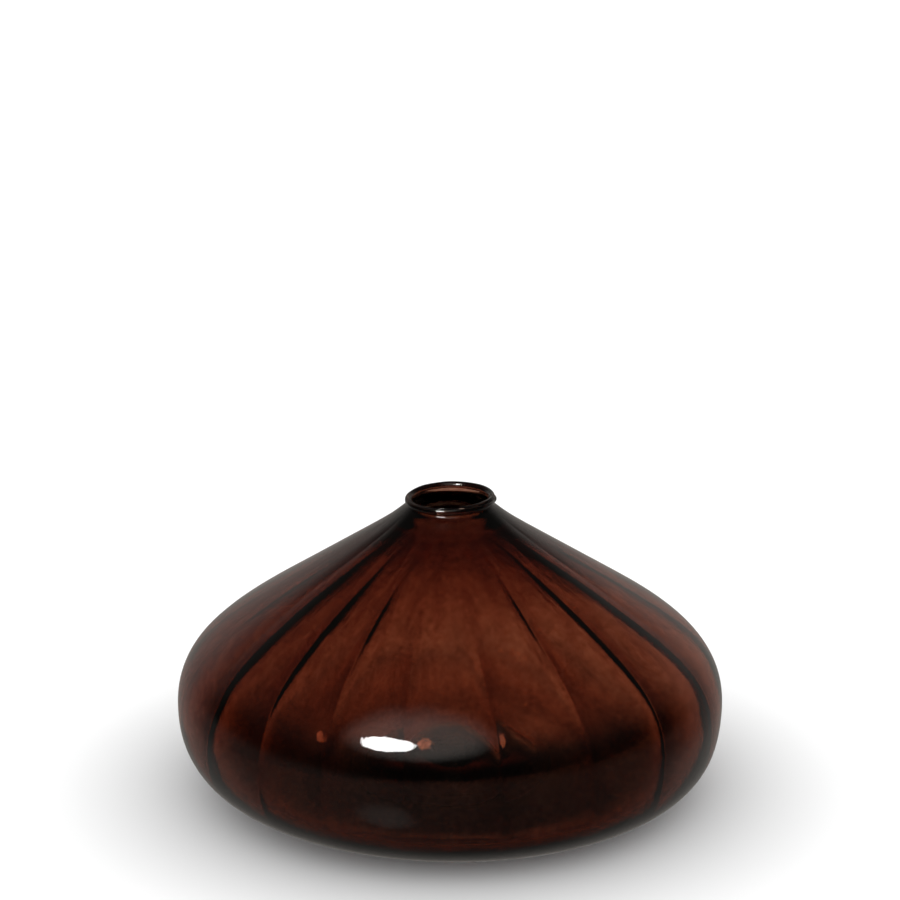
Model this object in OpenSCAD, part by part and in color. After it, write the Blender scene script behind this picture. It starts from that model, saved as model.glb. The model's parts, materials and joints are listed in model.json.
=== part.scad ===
// Squat glass bud vase: a blown bulb with optic ribs inside its wall, a thread of glass
// wrapped round the outside of its lip, and a button of glass in the hollow of its base.
// Millimetres, +Z up, origin at the centre of the ring it stands on.

/* [Body] */
// Diameter at the widest line
body_d = 160; // [150:1:170]
// Height from the table to the top of the lip
height = 88; // [84:1:94]
// Height of the widest line above the table
widest_z = 26; // [25:0.5:29]
// Thickness of the blown wall
wall = 3; // [2:0.5:4]

/* [Slope] */
// Slope of the straight stretch under the neck, in degrees above level
slope = 32.5; // [31:0.5:34]
// Diameter at which the round shoulder turns into the straight slope
slope_d = 96; // [90:1:102]
// Diameter at which the slope begins to turn up into the neck
flare_d = 56; // [50:1:62]
// How steep the outside is where it meets the lip, in degrees above level
flare = 50; // [44:1:54]

/* [Mouth] */
// Bore of the mouth
mouth_d = 21; // [18:0.5:22]
// Thickness of the neck at the mouth
neck_wall = 1.5; // [1.2:0.1:1.8]
// Depth at which the straight bore opens out into the bulb
bore_depth = 5.3; // [4.8:0.1:6]
// Height of the thread wrapped round the lip
thread_h = 2.4; // [2.2:0.1:2.8]
// How far the thread stands out from the neck
thread_out = 1.1; // [1:0.1:1.4]
// Direction of the end of the thread's tail, in degrees from +X towards +Y
tail_end = 2; // [0:1:360]
// Angle that the tail turns through before it sinks into the thread
tail_sweep = 40; // [30:1:50]

/* [Ribs] */
// Number of optic ribs inside the wall
ribs = 20; // [12:1:24]
// Height of a rib above the inside of the wall
rib_h = 1.2; // [0.6:0.1:1.6]
// Width of a rib, as an angle round the body
rib_width = 2.4; // [1.5:0.1:3]
// Direction of the first rib, in degrees from +X towards +Y
first_rib = 17; // [0:1:18]
// Most that a rib wanders from its even place, in degrees
rib_drift = 7; // [0:0.5:8]

/* [Base] */
// Outer diameter of the ring it stands on
foot_d = 60; // [54:1:64]
// Inner diameter of the ring it stands on
foot_bore = 50; // [46:1:52]
// Height of the hollow pushed up into the base
kick_h = 5; // [4:0.5:6]
// Thickness of the glass at the bottom
base_t = 4.5; // [4:0.5:6]
// Diameter of the button of glass in the hollow
button_d = 16; // [12:1:18]
// Thickness of the button
button_t = 1.6; // [1.2:0.1:2]

/* [Hidden] */
$fn = 96;
brown = [0.30, 0.13, 0.07];
dark_brown = [0.20, 0.08, 0.04];
steps = 14;              // straight pieces in each curve of the outline
rib_root = 0.8;          // how deep a rib is rooted in the wall
rib_sunk = 0.4;          // how far a rib's ends lie inside the wall, as a share of its height
lip_rise = 0.2;          // how far the rounded edge of the mouth stands above the thread
thread_lap = 0.3;        // how far the thread overhangs the top of the slope

body_r = body_d / 2;
foot_r = foot_d / 2;
button_r = button_d / 2;
bore_r = mouth_d / 2;
neck_r = bore_r + neck_wall;
thread_top = height - lip_rise;
thread_z = thread_top - thread_h / 2;

// Lengths of the handles that set how full each curve of the outline is
foot_pull = 31;
belly_pull = 0.97;       // share of the height of the widest line
shoulder_pull = 15.5;
slope_pull = 24;
flare_pull = 5.5;
kick_pull = 6;
kick_toe = 2;            // height of the handle at the standing ring

// Outside of the wall: where the slope ends under the thread, and where it starts
neck_foot = [neck_r + thread_out - thread_lap, thread_top - thread_h];
flare_sink = 1.65;       // how far the straight slope passes below the foot of the neck
up_slope = [-cos(slope), sin(slope)];
into_wall = [-sin(slope), -cos(slope)];
slope_start = [slope_d / 2, neck_foot[1] - flare_sink - (slope_d / 2 - neck_foot[0]) * tan(slope)];
slope_end = slope_start + up_slope * (slope_d - flare_d) / 2 / cos(slope);
mouth_foot = [bore_r, height - bore_depth];

function bezier(a, b, c, d, t) =
    pow(1 - t, 3) * a + 3 * pow(1 - t, 2) * t * b + 3 * (1 - t) * t * t * c + pow(t, 3) * d;
function curve(a, b, c, d) = [for (i = [0:steps]) bezier(a, b, c, d, i / steps)];
function without_first(list) = [for (i = [1:len(list) - 1]) list[i]];
function reversed(list) = [for (i = [len(list) - 1:-1:0]) list[i]];
function mix(a, b, share) = a + (b - a) * share;

// The outline inset by t, which is 0 on the outside of the glass and wall on the inside.
// From the standing ring out to the widest line
function belly(t) = curve(
    [foot_r, t * base_t / wall], [foot_r + foot_pull, t * base_t / wall],
    [body_r - t, mix(widest_z, t * base_t / wall, belly_pull)], [body_r - t, widest_z]);
// From the widest line over the shoulder to the straight slope
function shoulder(t) = curve(
    [body_r - t, widest_z], [body_r - t, widest_z + shoulder_pull],
    slope_start + t * into_wall - slope_pull * up_slope, slope_start + t * into_wall);
// From the straight slope up to the neck
function flare_up(t) = let (top = mix(neck_foot, mouth_foot, t / wall)) curve(
    slope_end + t * into_wall, slope_end + t * into_wall + flare_pull * up_slope,
    top - flare_pull * [-cos(flare), sin(flare)], top);
function skin(t) = concat(belly(t), without_first(shoulder(t)), flare_up(t));
// From the flat middle of the hollow in the base out to the standing ring
function kick(t) = curve(
    [button_r, kick_h + t], [button_r + kick_pull, kick_h + t],
    [foot_bore / 2 - kick_pull, t + kick_toe], [foot_bore / 2, t]);

// Half section of the glass: up the outside, over the edge of the mouth and down the inside
module wall_section() {
    edge_r = neck_wall / 2;
    polygon(concat(
        [[0, kick_h]],
        kick(0),
        skin(0),
        [[neck_r, neck_foot[1]], [neck_r, height - edge_r], [bore_r, height - edge_r]],
        reversed(skin(wall)),
        reversed(kick(base_t)),
        [[0, kick_h + base_t]]));
    translate([bore_r + edge_r, height - edge_r])
        circle(r = edge_r);
}

// A rib comes up out of the wall under the belly and sinks back into it at the neck
module rib_section() {
    root = skin(wall - rib_root);
    foot = skin(wall);
    crest = skin(wall + rib_h);
    first = steps / 2;
    last = len(root) - 2;
    function rise(i) = (1 + rib_sunk) * sin(180 * (i - first) / (last - first)) - rib_sunk;
    polygon(concat(
        [for (i = [first:last]) root[i]],
        [for (i = [last:-1:first]) mix(foot[i], crest[i], rise(i))]));
}

// Direction of a rib: even places, drawn together on one side as blown ribs are
function rib_direction(i) =
    let (even = first_rib + 360 * i / ribs) even + rib_drift * sin(even);

module blown_body() {
    color(brown, 0.85) {
        rotate_extrude()
            wall_section();
        for (i = [0:ribs - 1])
            rotate(rib_direction(i) - rib_width / 2)
                rotate_extrude(angle = rib_width)
                    rib_section();
    }
}

// The thread is melted flat against the neck. Its tail comes out of the ring on a tighter
// curve, laps the start and ends in a small knob.
module lip_wrap() {
    thread_r = (pow(thread_out, 2) + pow(thread_h / 2, 2)) / (2 * thread_out);
    tail_r = 0.9;
    knob_r = 1.1;
    knob_out = 0.35;     // how far the knob stands out beyond the thread
    tail_rise = 0.1;     // how far the tail climbs above the middle of the thread
    tail_ring_r = 8;
    tail_reach = neck_r + thread_out + knob_out - knob_r;
    tail_z = thread_z + tail_rise;
    color(dark_brown, 0.9)
        difference() {
            union() {
                rotate_extrude()
                    translate([neck_r + thread_out - thread_r, thread_z])
                        circle(r = thread_r);
                rotate(tail_end)
                    translate([tail_reach - tail_ring_r, 0, tail_z]) {
                        rotate_extrude(angle = tail_sweep)
                            translate([tail_ring_r, 0])
                                circle(r = tail_r);
                        translate([tail_ring_r, 0, 0])
                            sphere(r = knob_r);
                    }
            }
            translate([0, 0, thread_z - thread_h])
                cylinder(r = neck_r, h = 2 * thread_h);
        }
}

// A flat-topped button with a shallow dish where the rod snapped off
module pontil_mark() {
    taper = 0.8;         // how much narrower the button is at its free face
    dish_r = 12.8;
    dish_depth = 0.6;
    color(dark_brown, 0.9)
        difference() {
            translate([0, 0, kick_h - button_t])
                cylinder(h = button_t, r1 = button_r - taper, r2 = button_r);
            translate([0, 0, kick_h - button_t + dish_depth - dish_r])
                sphere(r = dish_r);
        }
}

blown_body();
lip_wrap();
pontil_mark();
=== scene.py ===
"""Squat bud vase of dark brown blown glass, with optic ribs inside its wall, a thread of glass
wrapped round its lip and a pontil button in the hollow of its base. Metres, +Z up."""
import json
import math
import random

import bpy
import numpy as np
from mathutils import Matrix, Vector, noise

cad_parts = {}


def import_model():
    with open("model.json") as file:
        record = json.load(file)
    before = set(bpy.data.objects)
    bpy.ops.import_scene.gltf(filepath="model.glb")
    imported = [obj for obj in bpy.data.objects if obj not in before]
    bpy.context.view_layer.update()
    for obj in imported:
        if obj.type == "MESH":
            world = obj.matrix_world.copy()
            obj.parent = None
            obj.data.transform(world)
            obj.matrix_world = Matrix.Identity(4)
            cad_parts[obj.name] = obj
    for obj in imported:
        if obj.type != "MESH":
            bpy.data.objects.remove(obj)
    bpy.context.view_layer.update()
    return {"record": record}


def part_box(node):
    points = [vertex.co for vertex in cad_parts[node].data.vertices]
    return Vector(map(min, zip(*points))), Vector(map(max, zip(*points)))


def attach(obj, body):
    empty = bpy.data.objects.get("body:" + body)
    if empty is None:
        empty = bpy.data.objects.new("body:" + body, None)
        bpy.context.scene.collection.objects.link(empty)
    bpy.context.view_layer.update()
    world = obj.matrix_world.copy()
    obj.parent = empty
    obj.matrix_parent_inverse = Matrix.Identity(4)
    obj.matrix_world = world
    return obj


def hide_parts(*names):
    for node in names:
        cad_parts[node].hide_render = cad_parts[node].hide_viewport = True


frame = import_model()

MM = 0.001
BODY_LOW, BODY_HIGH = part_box("blown_body")
PONTIL_LOW, PONTIL_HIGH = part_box("pontil_mark")
MOUNTS = {mount["name"]: mount for mount in frame["record"]["mounts"]}

# Body
BODY_R = (BODY_HIGH.y - BODY_LOW.y) / 2
HEIGHT = BODY_HIGH.z
WIDEST_Z = 26 * MM
WALL = 3 * MM
SLOPE = math.radians(32.5)          # above level, under the neck
SLOPE_R = 48 * MM                   # where the round shoulder turns into the straight slope
FLARE_R = 28 * MM                   # where the slope begins to turn up into the neck
FLARE = math.radians(41)            # above level, where the outside meets the lip
FLARE_SINK = 1.05 * MM              # how far the straight slope passes below the neck

# Mouth and lip
BORE_R = MOUNTS["mouth"]["dims"]["r_mm"] * MM
NECK_WALL = 1.5 * MM
NECK_R = BORE_R + NECK_WALL
BORE_DEPTH = 7.0 * MM               # where the straight bore opens out into the bulb
CREST_R = 11.9 * MM                 # where the edge of the mouth is highest
FUNNEL_H = 3.1 * MM                 # depth of the rounding inside the mouth
EDGE_H = 0.8 * MM                   # height of the rounding outside it
LIP_TILT = 0.62 * MM                # the highest side of the lip stands twice this above the lowest
LIP_HIGH_SIDE = math.radians(54)
THREAD_LOW = 84.3 * MM              # where the slope ends under the thread
THREAD_OUT = 1.05 * MM              # how far the thread stands out from the neck
THREAD_HALF = 1.15 * MM             # half its height
THREAD_TAPER = 0.15                 # how much taller the thread is at the front, and lower at the back
HOLLOW_R = 12.45 * MM               # outside of the neck just under the thread
SLOPE_TOP_R = 13.1 * MM

# Uneven thickness of the wall
THICK_GAIN = 1.5 * MM               # how much thicker it is on the left, as blown glass comes
THICK_SIDE = math.radians(198)
NECK_GAIN = 3.0 * MM                # how much thicker it is near the neck than on the shoulder
RIPPLE_IN = 0.12 * MM
RIPPLE_OUT = 0.07 * MM
SHALLOW_RIB = 0.16 * MM             # depth of the furrow outside a rib
SAG = 0.8 * MM                      # how much lower the belly hangs on one side
SAG_SIDE = math.radians(-38)
SEEDS = 30

# Base
FOOT_R = 30 * MM
FOOT_BORE_R = 25 * MM
KICK_H = PONTIL_HIGH.z
BASE_T = 4.5 * MM
PUNT_GAIN = 3.0 * MM                # how much thicker the glass is in the middle of the bottom
BUTTON_R = (PONTIL_HIGH.x - PONTIL_LOW.x) / 2
BUTTON_T = PONTIL_HIGH.z - PONTIL_LOW.z

# Handles of the outline's curves
FOOT_PULL = 31 * MM
BELLY_PULL = 0.97
SHOULDER_PULL = 15.5 * MM
SLOPE_PULL = 24 * MM
FLARE_PULL = 6.5 * MM
KICK_PULL = 6 * MM
KICK_TOE = 2 * MM

# Ribs
RIBS = 20
FIRST_RIB = math.radians(17)
RIB_DRIFT = math.radians(7)
RIB_H = 1.15 * MM
RIB_SPREAD = math.radians(2.7)      # angle in which a rib falls to about a third of its height
RIB_TIP = 0.35 * MM                 # how round the crest is
# Ribs that lie away from their even places, in degrees, and shares of the full height
RIB_WANDER = {9: -1, 10: -3, 11: -1.5, 13: -0.5, 14: -2, 16: 1, 17: 1, 18: 2, 19: 3}
RIB_STRENGTH = {0: 0.3, 9: 0.15, 10: 0.15, 14: 0.9, 15: 1.1, 19: 0.3}

random.seed(7)


# ---------------------------------------------------------------- outline of the wall

def bezier(a, b, c, d, count):
    t = np.linspace(0, 1, count + 1)[:, None]
    a, b, c, d = (np.array(p, float) for p in (a, b, c, d))
    return (1 - t) ** 3 * a + 3 * (1 - t) ** 2 * t * b + 3 * (1 - t) * t * t * c + t ** 3 * d


def mix(a, b, share):
    return a + (b - a) * share


def skin(inset):
    """Outline of the wall from the standing ring to the neck, inset from the outside by so much."""
    up = np.array([-math.cos(SLOPE), math.sin(SLOPE)])
    into = np.array([-math.sin(SLOPE), -math.cos(SLOPE)])
    neck_foot = np.array([SLOPE_TOP_R, THREAD_LOW])
    mouth_foot = np.array([BORE_R, HEIGHT - BORE_DEPTH])
    slope_drop = (SLOPE_R - neck_foot[0]) * math.tan(SLOPE)
    start = np.array([SLOPE_R, neck_foot[1] - FLARE_SINK - slope_drop]) + inset * into
    end = start + up * (SLOPE_R - FLARE_R) / math.cos(SLOPE)
    floor_z = inset * BASE_T / WALL
    side = BODY_R - inset
    belly = bezier((FOOT_R, floor_z), (FOOT_R + FOOT_PULL, floor_z),
                   (side, mix(WIDEST_Z, floor_z, BELLY_PULL)), (side, WIDEST_Z), 40)
    shoulder = bezier((side, WIDEST_Z), (side, WIDEST_Z + SHOULDER_PULL),
                      start - SLOPE_PULL * up, start, 40)
    top = mix(neck_foot, mouth_foot, inset / WALL)
    slope = np.linspace(start, end, 13)
    rise = np.array([-math.cos(FLARE), math.sin(FLARE)])
    flare = bezier(end, end + FLARE_PULL * up, top - FLARE_PULL * rise, top, 18)
    return np.concatenate([belly, shoulder[1:], slope[1:], flare[1:]])


def kick(inset):
    """Outline of the hollow in the base, from the edge of the button to the standing ring."""
    return bezier((BUTTON_R, KICK_H + inset), (BUTTON_R + KICK_PULL, KICK_H + inset),
                  (FOOT_BORE_R - KICK_PULL, inset + KICK_TOE), (FOOT_BORE_R, inset), 16)


def smooth(x, low, high):
    t = np.clip((x - low) / (high - low), 0, 1)
    return t * t * (3 - 2 * t)


def between(x, low, low_full, high_full, high):
    """0 outside low and high, 1 from low_full to high_full and smooth between."""
    return smooth(x, low, low_full) * (1 - smooth(x, high_full, high))


def normals_of(outline):
    """Normals on the right of a run of points, which point out of the glass."""
    along = np.gradient(outline, axis=0)
    along /= np.linalg.norm(along, axis=1)[:, None]
    return np.stack([along[:, 1], -along[:, 0]], axis=1)


# ---------------------------------------------------------------- blown body

# Places of the columns from a rib (0) to the middle of the panel beside it (1)
PLACES = (0, 0.02, 0.05, 0.10, 0.17, 0.27, 0.40, 0.57, 0.77, 1)


def rib_direction(i):
    even = FIRST_RIB + 2 * math.pi * i / RIBS
    return even + RIB_DRIFT * math.sin(even) + math.radians(RIB_WANDER.get(i, 0))


def rib_lean(i, z):
    """Towards the neck the ribs lean away from the front, and all of them a little to the left."""
    across = math.cos(rib_direction(i))
    return math.radians(5 * across - 2) * smooth(z, 32 * MM, 66 * MM)


def rib_height(r, z):
    """Full on the shoulder, less round the widest line and nothing under the belly."""
    on_belly = 0.68 * smooth(z, 8 * MM, 24 * MM)
    on_shoulder = 0.32 * smooth(z, 24 * MM, 46 * MM)
    near_neck = 1 - 0.9 * smooth(z, 62 * MM, 80 * MM)
    return RIB_H * (on_belly + on_shoulder) * near_neck * min(1.0, r / (46 * MM))


def columns(wander):
    """Azimuth of every column, its angle from the nearest rib, half the angle of its panel and the
    strength of that rib."""
    angle, from_rib, half, strong = [], [], [], []
    middle = [rib_direction(i) + wander[i] for i in range(RIBS)]
    middle.append(middle[0] + 2 * math.pi)
    for i, (low, high) in enumerate(zip(middle, middle[1:])):
        reach = (high - low) / 2
        strong += [RIB_STRENGTH.get(i, 1.0)] * len(PLACES)
        strong += [RIB_STRENGTH.get((i + 1) % RIBS, 1.0)] * (len(PLACES) - 2)
        for x in PLACES:
            angle.append(low + x * reach)
            from_rib.append(x * reach)
        for x in PLACES[-2:0:-1]:
            angle.append(high - x * reach)
            from_rib.append(x * reach)
        half += [reach] * (2 * len(PLACES) - 2)
    return np.array(angle), np.array(from_rib), np.array(half), np.array(strong)


def cusp(from_rib, half, spread, tip):
    """Highest on a rib, falling steeply at first and to 0 in the middle of the panel."""
    last = np.exp(-half / spread)
    return (np.exp(-np.hypot(from_rib, tip) / spread) - last) / (1 - last)


def bumps(points, scale, seed):
    offset = Vector((seed, 2 * seed, 3 * seed))
    return np.array([noise.noise(Vector(p) / scale + offset) for p in points])


def body_rows():
    """Points of the closed section from the underside to the cavity, and which of them are on the
    inside of the wall, on its outside and on the floor of the cavity."""
    outer, inner = skin(0), skin(WALL)
    outer_lip = [(CREST_R + (NECK_R - CREST_R) * math.cos(a), HEIGHT - EDGE_H * (1 - math.sin(a)))
                 for a in np.linspace(0, math.pi / 2, 7)]
    funnel = [(CREST_R - (CREST_R - BORE_R) * math.sin(a), HEIGHT - FUNNEL_H * (1 - math.cos(a)))
              for a in np.linspace(0, math.pi / 2, 15)[1:]]
    edge = np.array(outer_lip + funnel)
    rise = np.array([-math.cos(FLARE), math.sin(FLARE)])
    hollow = bezier(outer[-1], outer[-1] + 0.6 * MM * rise, (HOLLOW_R, HEIGHT - 2.7 * MM),
                    (HOLLOW_R, HEIGHT - 1.7 * MM), 9)
    neck = np.concatenate([hollow[1:], np.linspace(hollow[-1], edge[0], 4)[1:-1]])
    bore = np.linspace(edge[-1], inner[-1], 7)[1:-1]
    under = np.concatenate([np.linspace((0, KICK_H), (BUTTON_R, KICK_H), 6)[1:-1], kick(0)])
    ring = np.linspace((FOOT_BORE_R, 0), (FOOT_R, 0), 5)[1:-1]
    over = np.concatenate([np.linspace((0, KICK_H + BASE_T), (BUTTON_R, KICK_H + BASE_T), 6)[1:-1],
                           kick(BASE_T)])
    over_ring = np.linspace((FOOT_BORE_R, BASE_T), inner[0], 5)[1:-1]
    section = np.concatenate([under, ring, outer, neck, edge, bore, inner[::-1],
                              over_ring[::-1], over[::-1]])
    first_inner = len(under) + len(ring) + len(outer) + len(neck) + len(edge) + len(bore)
    inside = np.zeros(len(section), bool)
    inside[first_inner:first_inner + len(inner)] = True
    outside = np.zeros(len(section), bool)
    outside[len(under) + len(ring):len(under) + len(ring) + len(outer)] = True
    bottom = np.zeros(len(section), bool)
    bottom[first_inner + len(inner) // 2:] = True
    return section, inside, outside, bottom


def blown_body():
    section, inside, outside, bottom = body_rows()
    across = normals_of(section)
    drift = [random.uniform(-1, 1) for _ in range(RIBS)]
    points = []
    for (r, z), normal, is_inner, is_outer, is_floor in zip(section, across, inside, outside, bottom):
        wander = [d * math.radians(0.9) * math.sin(z / (17 * MM) + 5 * d) + rib_lean(i, z)
                  for i, d in enumerate(drift)]
        angle, from_rib, half, strong = columns(wander)
        flat = np.stack([r * np.cos(angle), r * np.sin(angle), np.full_like(angle, z)], axis=1)
        push = np.zeros_like(angle)
        if is_inner:
            push += rib_height(r, z) * strong * cusp(from_rib, half, RIB_SPREAD, RIB_TIP / r)
            push += NECK_GAIN * between(z, 56 * MM, 78 * MM, 78 * MM, HEIGHT - BORE_DEPTH)
            push += RIPPLE_IN * bumps(flat, 14 * MM, 3) * smooth(z, 6 * MM, 14 * MM)
            on_side = np.maximum(0, np.cos(angle - THICK_SIDE)) ** 2
            push += THICK_GAIN * on_side * between(z, 24 * MM, 38 * MM, 60 * MM, 76 * MM)
        if is_outer:
            away = between(z, 4 * MM, 12 * MM, 78 * MM, THREAD_LOW)
            furrow = SHALLOW_RIB * smooth(z, 34 * MM, 54 * MM)
            furrow = furrow * strong * cusp(from_rib, half, 1.5 * RIB_SPREAD, RIB_TIP / r)
            push -= away * (furrow + RIPPLE_OUT * (1 + bumps(flat, 18 * MM, 8)))
        if is_floor:
            z += PUNT_GAIN * (1 - smooth(r, 14 * MM, 50 * MM))
        sag = sagging(r, z, angle)
        radius = r + normal[0] * push + sag[0]
        level = z + normal[1] * push + sag[1] + lip_dip(angle, z)
        points.append(np.stack([radius * np.cos(angle), radius * np.sin(angle), level], axis=1))
    return revolve("blown_body_glass", points, (0, 0, KICK_H), (0, 0, KICK_H + BASE_T + PUNT_GAIN))


def sagging(r, z, angle):
    """The soft glass sagged while it was worked: one side of the belly hangs lower than the other,
    and a little further out. Gives how far outwards and upwards."""
    low = smooth(r, 42 * MM, 60 * MM) * (1 - smooth(z, 10 * MM, 24 * MM))
    lean = np.cos(angle - SAG_SIDE)
    down = np.where(lean > 0, SAG, 1.125 * SAG) * lean * low
    return 0.25 * down, -down


def revolve(name, rings, bottom, top):
    """A closed mesh through rings of points, with a point at either end."""
    count = len(rings[0])
    points = np.concatenate([*rings, [bottom], [top]])
    first, last = len(points) - 2, len(points) - 1
    faces = []
    for k in range(len(rings) - 1):
        a, b = k * count, (k + 1) * count
        faces += [(a + i, a + (i + 1) % count, b + (i + 1) % count, b + i) for i in range(count)]
    end = (len(rings) - 1) * count
    faces += [(first, (i + 1) % count, i) for i in range(count)]
    faces += [(last, end + i, end + (i + 1) % count) for i in range(count)]
    return new_object(name, points, faces)


def new_object(name, points, faces):
    mesh = bpy.data.meshes.new(name)
    mesh.from_pydata([tuple(p) for p in points], [], faces)
    mesh.validate()
    for polygon in mesh.polygons:
        polygon.use_smooth = True
    mesh.update()
    piece = bpy.data.objects.new(name, mesh)
    bpy.context.scene.collection.objects.link(piece)
    return piece


# ---------------------------------------------------------------- lip thread

def lip_dip(angle, z):
    """How far the tilted lip is lowered: most at the edge of the mouth and nothing on the slope."""
    return -LIP_TILT * (1 - np.cos(angle - LIP_HIGH_SIDE)) * smooth(z, THREAD_LOW - 1 * MM, HEIGHT)


def thread_section():
    """Section of the thread where it is melted on, a small round roll over the edge of the mouth,
    as radius and depth below the top."""
    sunk = 0.3 * MM
    middle = (NECK_R + sunk, HEIGHT - 0.05 * MM - THREAD_HALF)
    out = THREAD_OUT - sunk
    roll = [(middle[0] + out * math.cos(a), middle[1] + THREAD_HALF * math.sin(a))
            for a in np.radians(np.linspace(90, -72, 17))]
    inner_r = CREST_R - 0.1 * MM
    back = [(HOLLOW_R - 0.5 * MM, HEIGHT - 2.3 * MM), (inner_r, HEIGHT - 1.9 * MM),
            (inner_r, HEIGHT - 0.6 * MM), (inner_r + 0.02 * MM, HEIGHT - 0.08 * MM),
            (CREST_R + 0.4 * MM, HEIGHT - 0.05 * MM)]
    section = np.array(roll + back)
    section[:, 1] = HEIGHT - section[:, 1]
    return section


def lip_ring():
    """The thread, melted into a ring round the neck. It stays a little uneven."""
    section = thread_section()
    count = 240
    rings = []
    for k in range(count):
        a = 2 * math.pi * k / count
        uneven = noise.noise(Vector((2.2 * math.cos(a), 2.2 * math.sin(a), 0.7)))
        swell = 1 + 0.10 * uneven
        tall = 1 - THREAD_TAPER * math.sin(a)
        ring = []
        for r, drop in section:
            z = HEIGHT - drop * tall
            out = max(0.0, r - NECK_R)
            radius = r + out * (swell - 1)
            level = z + lip_dip(a, z) + 0.08 * MM * uneven
            ring.append((radius * math.cos(a), radius * math.sin(a), level))
        rings.append(ring)
    return rings


def lip_tail():
    """The end of the thread: it leaves the ring at the front right, rides up on it and ends in a knob."""
    start, end = math.radians(-78), math.radians(3)
    knob_end = 0.92
    steps, around = 60, 18
    rings = []
    for k in range(steps + 1):
        share = k / steps
        angle = mix(start, end, share)
        rise = smooth(share, 0, 1)
        thick = mix(0.30, 0.82, smooth(share, 0, 0.55)) * MM
        knob = smooth(share, 0.84, 0.91)
        thick *= 1 + 0.68 * knob
        past_knob = max(0.0, (share - knob_end) / (1 - knob_end))
        close = math.sqrt(max(0.0, 1 - past_knob ** 2))
        centre_r = NECK_R + mix(0.30, 0.42, rise) * MM - 0.3 * MM * knob
        centre_z = HEIGHT + mix(-0.85, -0.92, rise) * MM - 0.5 * MM * knob
        ring = []
        for j in range(around):
            a = 2 * math.pi * j / around
            r = centre_r + thick * close * math.cos(a)
            z = centre_z + thick * close * math.sin(a)
            ring.append((r * math.cos(angle), r * math.sin(angle), z))
        rings.append(np.array(ring))
    return rings


def lip_thread():
    """The ring and its tail as one mesh of two closed pieces."""
    ring, tail = lip_ring(), lip_tail()
    around = len(ring[0])
    points = [tuple(p) for row in ring for p in row]
    count = len(ring)
    faces = []
    for k in range(count):
        a, b = k * around, (k + 1) % count * around
        faces += [(a + i, a + (i + 1) % around, b + (i + 1) % around, b + i) for i in range(around)]
    base, around = len(points), len(tail[0])
    points += [tuple(p) for row in tail for p in row]
    for k in range(len(tail) - 1):
        a, b = base + k * around, base + (k + 1) * around
        faces += [(a + i, b + i, b + (i + 1) % around, a + (i + 1) % around) for i in range(around)]
    points += [tuple(tail[0].mean(axis=0)), tuple(tail[-1].mean(axis=0))]
    first, last, end = len(points) - 2, len(points) - 1, base + (len(tail) - 1) * around
    faces += [(first, base + i, base + (i + 1) % around) for i in range(around)]
    faces += [(last, end + (i + 1) % around, end + i) for i in range(around)]
    return new_object("lip_thread", points, faces)


# ---------------------------------------------------------------- pontil button

def pontil_button():
    """The flat button that the pontil rod left, with a rough dished scar in its free face. The
    outline gives radius and height in millimetres, from the scar round to the glass above."""
    outline = [(1.2, 0.55), (2.6, 0.5), (4.0, 0.38), (5.2, 0.2), (6.2, 0.05), (6.9, 0.0),
               (7.35, 0.12), (7.7, 0.4), (7.9, 0.8), (8.0, 1.25), (8.0, 1.6)]
    rim_mm, thick_mm = outline[-1]
    scar_mm = 6
    count = 72
    rings = []
    for r_mm, z_mm in outline:
        ring = []
        for i in range(count):
            a = 2 * math.pi * i / count
            edge = 1 - 0.05 * max(0.0, noise.noise(Vector((1.5 * math.cos(a), 1.5 * math.sin(a), 4))))
            r = r_mm / rim_mm * BUTTON_R * edge
            rough = noise.noise(Vector((r * math.cos(a), r * math.sin(a), 0)) / (1.6 * MM))
            scar = 0.16 * MM * abs(rough) * (1 if r_mm < scar_mm else 0)
            level = PONTIL_LOW.z + z_mm / thick_mm * BUTTON_T + scar
            ring.append((r * math.cos(a), r * math.sin(a), level))
        rings.append(np.array(ring))
    return revolve("pontil_button", rings, (0, 0, PONTIL_LOW.z + 0.6 * MM), (0, 0, PONTIL_HIGH.z))


# ---------------------------------------------------------------- seeds in the glass

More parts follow.
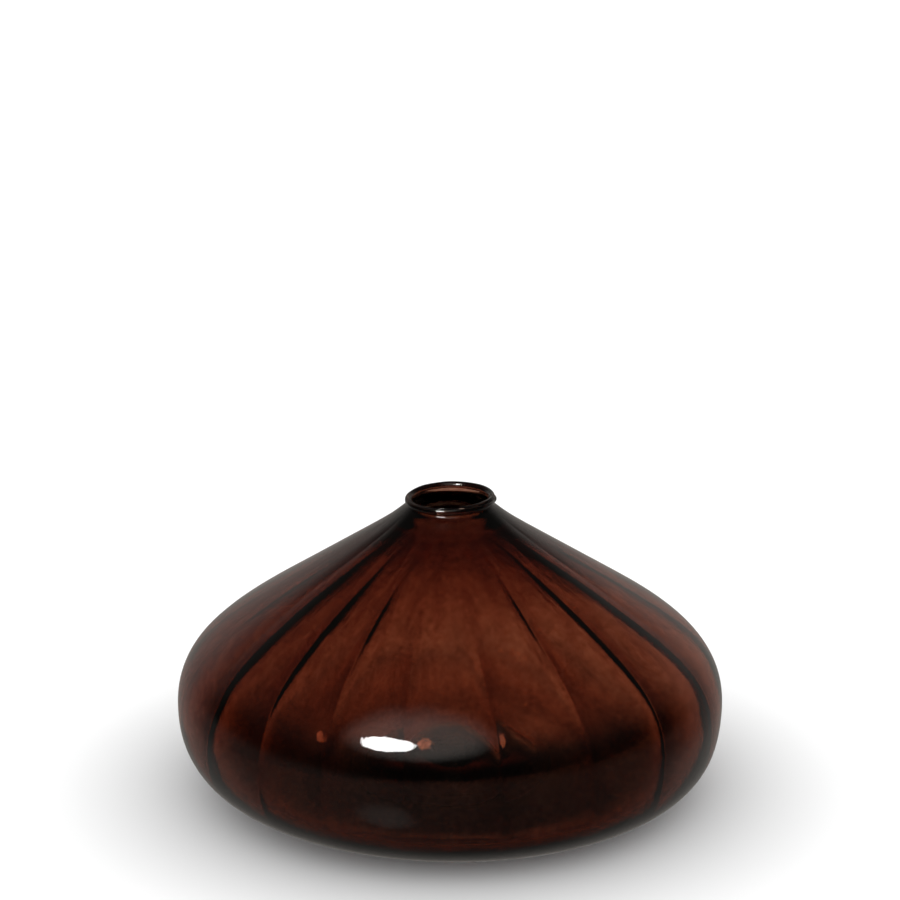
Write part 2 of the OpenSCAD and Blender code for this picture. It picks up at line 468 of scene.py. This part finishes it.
def seeds(piece):
    """Small stretched bubbles inside the wall, joined into the body's mesh with their faces inwards."""
    outer, inner = skin(0), skin(WALL)
    chosen = random.Random(23)
    mesh = piece.data
    points = [tuple(v.co) for v in mesh.vertices]
    faces = [tuple(p.vertices) for p in mesh.polygons]
    for _ in range(SEEDS):
        row = chosen.randrange(24, 96)
        angle = chosen.uniform(0, 2 * math.pi)
        depth = chosen.uniform(0.35, 0.6)
        r, z = mix(outer[row], inner[row], depth)
        along = outer[row + 1] - outer[row]
        along /= np.linalg.norm(along)
        length = chosen.uniform(0.2, 0.55) * MM
        thick = chosen.uniform(0.10, 0.15) * MM
        centre = np.array([r * math.cos(angle), r * math.sin(angle), z])
        lengthwise = np.array([along[0] * math.cos(angle), along[0] * math.sin(angle), along[1]])
        sideways = np.array([-math.sin(angle), math.cos(angle), 0])
        through = np.cross(lengthwise, sideways)
        base = len(points)
        rings, around = 6, 8
        for k in range(1, rings):
            u = math.pi * k / rings
            for j in range(around):
                w = 2 * math.pi * j / around
                offset = (lengthwise * length * math.cos(u)
                          + (sideways * math.cos(w) + through * math.sin(w)) * thick * math.sin(u))
                points.append(tuple(centre + offset))
        points.append(tuple(centre + lengthwise * length))
        points.append(tuple(centre - lengthwise * length))
        tip, tail = len(points) - 2, len(points) - 1
        made = []
        for k in range(rings - 2):
            a, b = base + k * around, base + (k + 1) * around
            made += [(a + j, a + (j + 1) % around, b + (j + 1) % around, b + j) for j in range(around)]
        last = base + (rings - 2) * around
        made += [(tip, base + (j + 1) % around, base + j) for j in range(around)]
        made += [(tail, last + j, last + (j + 1) % around) for j in range(around)]
        faces += made
    joined = new_object(piece.name + "_seeded", points, faces)
    old, piece.data = piece.data, joined.data
    bpy.data.objects.remove(joined)
    bpy.data.meshes.remove(old)
    piece.data.name = piece.name


# ---------------------------------------------------------------- materials

class Nodes:
    """Builds a material's node tree with short calls."""

    def __init__(self, tree):
        self.tree = tree

    def add(self, kind, **values):
        node = self.tree.nodes.new(kind)
        for name, value in values.items():
            if hasattr(node, name):
                setattr(node, name, value)
            else:
                node.inputs[name.replace("_", " ")].default_value = value
        return node

    def join(self, out, into):
        self.tree.links.new(out, into)

    def noise(self, vector, scale, detail=3, roughness=0.5):
        node = self.add("ShaderNodeTexNoise", Scale=scale, Detail=detail, Roughness=roughness)
        self.join(vector, node.inputs["Vector"])
        return node.outputs[0]

    def math(self, operation, a, b=None, clamp=False):
        node = self.add("ShaderNodeMath", operation=operation, use_clamp=clamp)
        for k, value in enumerate((a, b)):
            if value is None:
                continue
            if isinstance(value, (int, float)):
                node.inputs[k].default_value = value
            else:
                self.join(value, node.inputs[k])
        return node.outputs[0]

    def span(self, value, low, high, to_low, to_high):
        node = self.add("ShaderNodeMapRange", interpolation_type="SMOOTHSTEP")
        self.join(value, node.inputs["Value"])
        for name, number in (("From Min", low), ("From Max", high), ("To Min", to_low),
                             ("To Max", to_high)):
            node.inputs[name].default_value = number
        return node.outputs[0]

    def lerp(self, share, a, b):
        node = self.add("ShaderNodeMix", data_type="FLOAT")
        for socket, value in zip((node.inputs[0], node.inputs[2], node.inputs[3]), (share, a, b)):
            if isinstance(value, (int, float)):
                socket.default_value = value
            else:
                self.join(value, socket)
        return node.outputs[0]

    def blend(self, share, a, b, mode="MIX"):
        node = self.add("ShaderNodeMix", data_type="RGBA", blend_type=mode)
        if isinstance(share, (int, float)):
            node.inputs["Factor"].default_value = share
        else:
            self.join(share, node.inputs["Factor"])
        for name, value in (("A", a), ("B", b)):
            socket = next(s for s in node.inputs if s.name == name and s.type == "RGBA")
            if isinstance(value, tuple):
                socket.default_value = (*value, 1)
            else:
                self.join(value, socket)
        return next(s for s in node.outputs if s.type == "RGBA")


# Tint of the skin at the straight part of the neck, where the glass is least blown and thickest, and
# painted shade over the lit hollow under the thread
THICK_NECK_AND_SHADE = (0.35, 0.25, 0.22)


def glass(name, dark, light, absorbed, rough_low, rough_high, ripple, thick_neck_and_shade=None):
    """Blown glass, coloured through its thickness by the light absorbed a metre, with clouds and
    drawn-out streaks in its tint, a rippled skin and soft wear. The last argument is the low and high
    level between which the skin darkens to the tint of the thicker, hardly blown glass at the neck,
    which also paints shade over the lit hollow under the thread."""
    material = bpy.data.materials.new(name)
    material.use_nodes = True
    tree = material.node_tree
    tree.nodes.clear()
    n = Nodes(tree)
    place = n.add("ShaderNodeTexCoord").outputs["Object"]
    clouds = n.noise(place, 150, detail=5, roughness=0.62)
    grain = n.noise(place, 620, detail=3, roughness=0.6)

    # Streaks run up the wall, so their texture has no radius in it
    apart = n.add("ShaderNodeSeparateXYZ")
    n.join(place, apart.inputs[0])
    level = n.add("ShaderNodeCombineXYZ")
    n.join(apart.outputs[0], level.inputs[0])
    n.join(apart.outputs[1], level.inputs[1])
    unit = n.add("ShaderNodeVectorMath", operation="NORMALIZE")
    n.join(level.outputs[0], unit.inputs[0])
    lifted = n.add("ShaderNodeCombineXYZ")
    n.join(n.math("MULTIPLY", apart.outputs[2], 9.0), lifted.inputs[2])
    round_wall = n.add("ShaderNodeVectorMath", operation="ADD")
    n.join(unit.outputs[0], round_wall.inputs[0])
    n.join(lifted.outputs[0], round_wall.inputs[1])
    streaks = n.noise(round_wall.outputs[0], 16, detail=4, roughness=0.6)

    mottle = n.math("ADD", n.math("MULTIPLY", clouds, 0.5), n.math("MULTIPLY", streaks, 0.22))
    mottle = n.math("ADD", mottle, n.math("MULTIPLY", grain, 0.28))
    tint = n.blend(n.span(mottle, 0.40, 0.60, 0.0, 1.0), dark, light)
    # Darker towards the neck: the thicker glass there, and painted shade over the lit hollow under the
    # thread
    if thick_neck_and_shade:
        neck_and_shade_share = n.span(apart.outputs[2], *thick_neck_and_shade, 0.0, 1.0)
        tint = n.blend(1.0, tint, n.blend(neck_and_shade_share, (1, 1, 1), THICK_NECK_AND_SHADE), mode="MULTIPLY")

    shader = n.add("ShaderNodeBsdfPrincipled")
    n.join(tint, shader.inputs["Base Color"])
    shader.inputs["Transmission Weight"].default_value = 1.0
    shader.inputs["IOR"].default_value = GLASS_IOR
    n.join(n.span(grain, 0.3, 0.75, rough_low, rough_high), shader.inputs["Roughness"])

    swell = n.noise(place, 55, detail=2)
    heights = n.math("ADD", n.math("MULTIPLY", swell, 1.0), n.math("MULTIPLY", grain, 0.10))
    heights = n.math("ADD", heights, n.math("MULTIPLY", streaks, 0.35))
    bump = n.add("ShaderNodeBump", Strength=1.0, Distance=ripple)
    n.join(heights, bump.inputs["Height"])
    n.join(bump.outputs[0], shader.inputs["Normal"])

    thick = n.add("ShaderNodeVolumeAbsorption")
    density = max(absorbed) * 1.05
    thick.inputs["Color"].default_value = (*(1 - a / density for a in absorbed), 1)
    thick.inputs["Density"].default_value = density
    out = n.add("ShaderNodeOutputMaterial")
    n.join(shader.outputs[0], out.inputs["Surface"])
    n.join(thick.outputs[0], out.inputs["Volume"])
    return material


# ---------------------------------------------------------------- studio

# The room that the glass mirrors: its colour and how bright its parts are
ROOM_COLOUR = (1.0, 0.93, 0.86)
ROOM_BEHIND = 0.27
ROOM_LEFT = 0.16         # behind on the left
ROOM_FRONT = 0.02        # in front, above the table
ROOM_LOW_LEFT = 0.11     # in front, under the height of the table
ROOM_LOW_RIGHT = 0.07
ROOM_BELOW = 0.22        # beside and behind the vase, under the height of the table
ROOM_ABOVE = 0.05
# Lights, as azimuth and elevation in degrees: 0 is the front and 90 the right
WINDOW = (-32, 47)
WINDOW_GLOW = 26
UMBRELLA = (-18, 56)
UMBRELLA_GLOW = 0.8
FLOOR_SHINE = (-28, -37)  # the umbrella again, mirrored in a polished floor
FLOOR_GLOW = 0.20
# What is seen through the glass and round it
WALL_BEHIND = 1.3
BACKGROUND = 1.10
HORIZON = 3.0            # how much brighter the light on the floor is near the horizon
TABLE_COLOUR = (0.8, 0.8, 0.8, 1)
TABLE_SIDE = 5.0
TABLE_GLOW = 0.25        # round the vase
BELLY_GLOW = 0.75        # under the back of the belly
GLASS_IOR = 1.52


def direction(azimuth, elevation):
    """Azimuth 0 is the front and 90 the right, in degrees."""
    a, e = math.radians(azimuth), math.radians(elevation)
    return Vector((math.sin(a) * math.cos(e), -math.cos(a) * math.cos(e), math.sin(e)))


def world():
    """White as a background and as the light on the floor. The glass mirrors a dim room instead,
    with one large soft light at the front left."""
    room = bpy.data.worlds.new("studio")
    bpy.context.scene.world = room
    room.use_nodes = True
    tree = room.node_tree
    tree.nodes.clear()
    n = Nodes(tree)
    towards = n.add("ShaderNodeTexCoord").outputs["Generated"]
    apart = n.add("ShaderNodeSeparateXYZ")
    n.join(towards, apart.inputs[0])
    x, y, z = apart.outputs
    front = n.span(x, -0.6, 0.3, ROOM_LOW_LEFT, ROOM_LOW_RIGHT)
    front = n.lerp(n.span(z, -0.1, 0.15, 0.0, 1.0), front, ROOM_FRONT)
    rear = n.span(x, -0.95, -0.6, ROOM_LEFT, ROOM_BEHIND)
    level = n.lerp(n.span(y, 0.3, 0.9, 0.0, 1.0), front, rear)
    level = n.lerp(n.span(z, 0.25, 0.62, 0.0, 1.0), level, ROOM_ABOVE)
    beside = n.math("MULTIPLY", n.span(z, -0.5, -0.15, 1.0, 0.0), n.span(y, -0.2, 0.5, 0.0, 1.0))
    level = n.lerp(beside, level, ROOM_BELOW)

    def glow(centre, inner, outer, strength):
        near = n.add("ShaderNodeVectorMath", operation="DOT_PRODUCT")
        n.join(towards, near.inputs[0])
        near.inputs[1].default_value = direction(*centre)
        edge, middle = (math.cos(math.radians(a)) for a in (outer, inner))
        return n.span(near.outputs["Value"], edge, middle, 0.0, strength)

    level = n.math("ADD", level, glow(UMBRELLA, 12, 29, UMBRELLA_GLOW))
    level = n.math("ADD", level, glow(FLOOR_SHINE, 3, 13, FLOOR_GLOW))
    path = n.add("ShaderNodeLightPath")
    mirrored = n.math("MULTIPLY", path.outputs["Is Glossy Ray"], path.outputs["Is Reflection Ray"])
    behind = n.math("MULTIPLY", n.span(y, 0.25, 0.65, 0.0, 1.0), n.span(z, 0.12, 0.42, 1.0, 0.0))
    through = n.lerp(behind, level, WALL_BEHIND)
    level = n.lerp(mirrored, through, level)
    strength = n.lerp(path.outputs["Is Camera Ray"], level, BACKGROUND)
    low = n.span(z, 0.0, 0.4, HORIZON * BACKGROUND, BACKGROUND)
    strength = n.lerp(path.outputs["Is Diffuse Ray"], strength, low)
    shine = n.add("ShaderNodeBackground")
    n.join(strength, shine.inputs["Strength"])
    n.join(n.blend(mirrored, (1, 1, 1), ROOM_COLOUR), shine.inputs["Color"])
    out = n.add("ShaderNodeOutputWorld")
    n.join(shine.outputs[0], out.inputs["Surface"])


def window():
    """An oval light at the front left, which only the glass shows."""
    distance, wide, tall = 2.0, 0.64, 0.56
    towards = direction(*WINDOW)
    lamp = bpy.data.lights.new("window", "AREA")
    lamp.shape = "ELLIPSE"
    lamp.size = wide
    lamp.size_y = tall
    area = wide * tall * math.pi / 4
    lamp.energy = WINDOW_GLOW * area * math.pi
    lamp_object = bpy.data.objects.new("window", lamp)
    lamp_object.location = towards * distance + Vector((0, 0, HEIGHT / 2))
    lamp_object.rotation_euler = towards.to_track_quat("Z", "Y").to_euler()
    lamp_object.visible_diffuse = False
    lamp_object.visible_camera = False
    bpy.context.scene.collection.objects.link(lamp_object)


def table_top():
    """A wide pale light table, lit round the vase and under the back of its belly. It isn't
    mirrored in the glass, so the front of the belly stays dark."""
    side = TABLE_SIDE
    corners = [(-side, -side, 0), (side, -side, 0), (side, side, 0), (-side, side, 0)]
    floor = new_object("floor", corners, [(0, 1, 2, 3)])
    material = bpy.data.materials.new("pale_floor")
    material.use_nodes = True
    n = Nodes(material.node_tree)
    shader = material.node_tree.nodes["Principled BSDF"]
    shader.inputs["Base Color"].default_value = TABLE_COLOUR
    shader.inputs["Roughness"].default_value = 0.9
    shader.inputs["Specular IOR Level"].default_value = 0.0
    place = n.add("ShaderNodeTexCoord").outputs["Object"]

    def from_spot(y, across):
        squeezed = n.add("ShaderNodeVectorMath", operation="MULTIPLY")
        n.join(place, squeezed.inputs[0])
        squeezed.inputs[1].default_value = (across, 1, 1)
        away = n.add("ShaderNodeVectorMath", operation="DISTANCE")
        n.join(squeezed.outputs[0], away.inputs[0])
        away.inputs[1].default_value = (0, y, 0)
        return away.outputs["Value"]

    round_vase = n.span(from_spot(0, 1), 0.9 * BODY_R, 1.8 * BODY_R, 0.0, TABLE_GLOW)
    behind = n.span(from_spot(0.62 * BODY_R, 0.75), 0.3 * BODY_R, 0.66 * BODY_R, BELLY_GLOW, 0.0)
    shader.inputs["Emission Color"].default_value = (1, 1, 1, 1)
    n.join(n.math("ADD", round_vase, behind), shader.inputs["Emission Strength"])
    floor.data.materials.append(material)
    floor.visible_glossy = False


def camera():
    """A long lens a little above the vase, aimed over it so that the vase sits low in the frame."""
    distance = 771.4 * MM
    elevation = math.radians(20)
    pitch = math.radians(16.005)
    middle_z = 45 * MM
    eye = bpy.data.cameras.new("camera")
    eye.lens = 105
    eye.sensor_width = 36
    eye_object = bpy.data.objects.new("camera", eye)
    eye_object.location = (0, -distance * math.cos(elevation), middle_z + distance * math.sin(elevation))
    eye_object.rotation_euler = (math.pi / 2 - pitch, 0, 0)
    bpy.context.scene.collection.objects.link(eye_object)
    bpy.context.scene.camera = eye_object


# ---------------------------------------------------------------- the vase

# The brown glass darkens from 72 to 85 mm: thicker glass at the neck, and painted shade in the hollow
# under the thread
brown = glass("brown_glass", (0.70, 0.61, 0.54), (1.0, 0.95, 0.88), (270, 480, 600), 0.01, 0.05,
              0.10 * MM, thick_neck_and_shade=(72 * MM, 85 * MM))
lip = glass("lip_glass", (0.68, 0.60, 0.54), (1.0, 0.95, 0.88), (800, 1250, 1450), 0.02, 0.07,
            0.12 * MM)
base = glass("base_glass", (0.6, 0.5, 0.45), (0.95, 0.85, 0.8), (320, 540, 660), 0.15, 0.4,
             0.20 * MM)

body_piece = blown_body()
seeds(body_piece)
for piece, node, slot, material in ((body_piece, "blown_body", "brown_glass", brown),
                                    (lip_thread(), "lip_wrap", "lip_glass", lip),
                                    (pontil_button(), "pontil_mark", "base_glass", base)):
    piece.data.materials.append(material)
    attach(piece, "root")
    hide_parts(node)

table_top()
world()
window()
camera()

scene = bpy.context.scene
scene.view_settings.view_transform = "Standard"
scene.cycles.max_bounces = 32
scene.cycles.transmission_bounces = 28
scene.cycles.glossy_bounces = 12
scene.cycles.diffuse_bounces = 3
scene.cycles.caustics_reflective = True
scene.cycles.caustics_refractive = True
